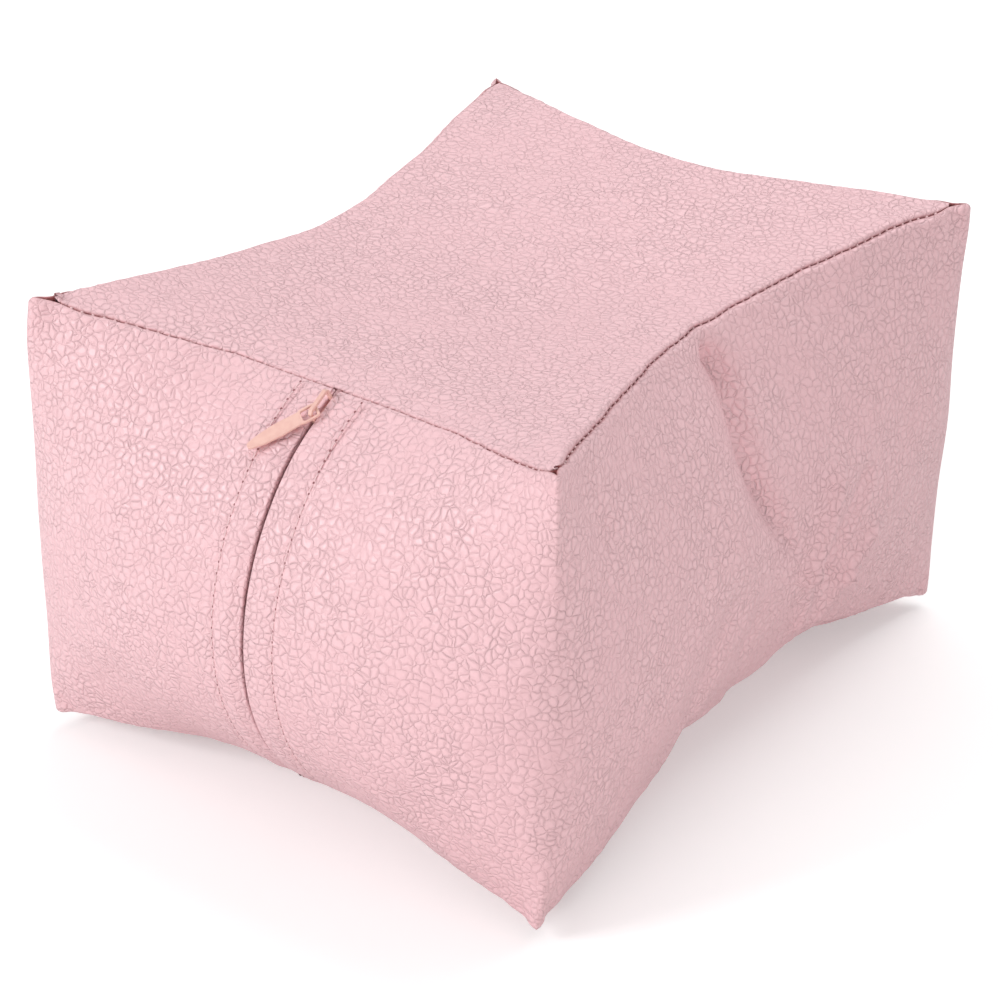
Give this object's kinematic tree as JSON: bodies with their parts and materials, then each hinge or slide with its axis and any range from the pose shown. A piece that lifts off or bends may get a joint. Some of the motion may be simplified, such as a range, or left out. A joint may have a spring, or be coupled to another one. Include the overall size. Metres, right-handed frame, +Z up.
{
  "type": "manicure hand rest cushion",
  "caption": "Stuffed box cushion that holds up the hand during nail care, in a sewn leather-look cover with drawn-in edges and a vertical zipper in one end.",
  "frame": {"origin": "on the ground, under the middle of the cushion's bounding box", "axes": "+X across the zipper end, to the right of someone who faces the zipper; +Y along the length, away from the zipper; +Z up. The pull tab is stored lying to the left of the slit and the slider closed at its top."},
  "size_m": [0.1954, 0.2576, 0.1525],
  "materials": {
    "pink_leather": "satin, fine pebbled grain",
    "pad_cloth": "matt nonwoven",
    "pink_tape": "woven tape",
    "pink_nylon": "satin",
    "peach_metal": "gloss paint on zinc",
    "pink_thread": "twisted polyester"
  },
  "bodies": {
    "cushion": {"top_panel": "pink_leather", "side_band": "pink_leather", "bottom_panel": "pink_leather", "inner_cushion": "pad_cloth", "zipper_tape_left": "pink_tape", "zipper_tape_right": "pink_tape", "zipper_coil_left": "pink_nylon", "zipper_coil_right": "pink_nylon", "top_seam_thread": "pink_thread", "bottom_seam_thread": "pink_thread", "topstitch_left": "pink_thread", "topstitch_right": "pink_thread"},
    "slider": {"zipper_slider": "peach_metal"},
    "tab": {"pull_tab": "peach_metal"}
  },
  "joints": [
    {"name": "zip_slide", "type": "hinge", "parent": "cushion", "child": "slider", "pos_m": [0, -0.05479, 0.07333], "axis": [1, 0, 0], "range_deg": [0, 105]},
    {"name": "tab_turn", "type": "hinge", "parent": "slider", "child": "tab", "pos_m": [0, -0.09501, 0.13567], "axis": [0, -0.4925, 0.8703], "range_deg": [0, 70]}
  ]
}
